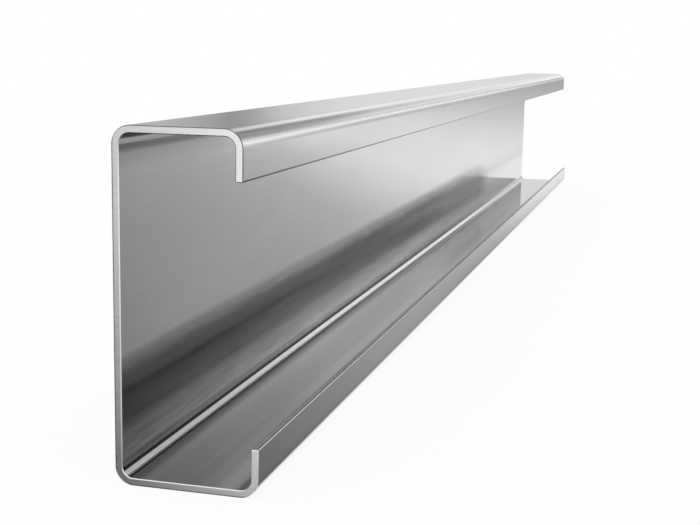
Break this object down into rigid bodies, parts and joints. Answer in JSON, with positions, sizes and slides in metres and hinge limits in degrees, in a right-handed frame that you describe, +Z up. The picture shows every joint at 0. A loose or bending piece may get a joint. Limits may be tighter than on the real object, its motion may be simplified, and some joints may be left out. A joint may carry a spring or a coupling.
{
  "type": "c purlin",
  "caption": "Straight length of cold-rolled steel lipped channel, with a tall web, a slightly wider lower flange and lips turned inward.",
  "frame": {"origin": "centre of the bounding box on the floor, under the middle of the wider flange at half length", "axes": "+Y along the length, +Z up the web, +X from the web towards the open side"},
  "size_m": [0.063, 1.3, 0.15],
  "materials": {
    "steel": "bright rolled strip, satin, with fine streaks along the length"
  },
  "bodies": {
    "root": {"purlin": "steel"}
  },
  "joints": []
}
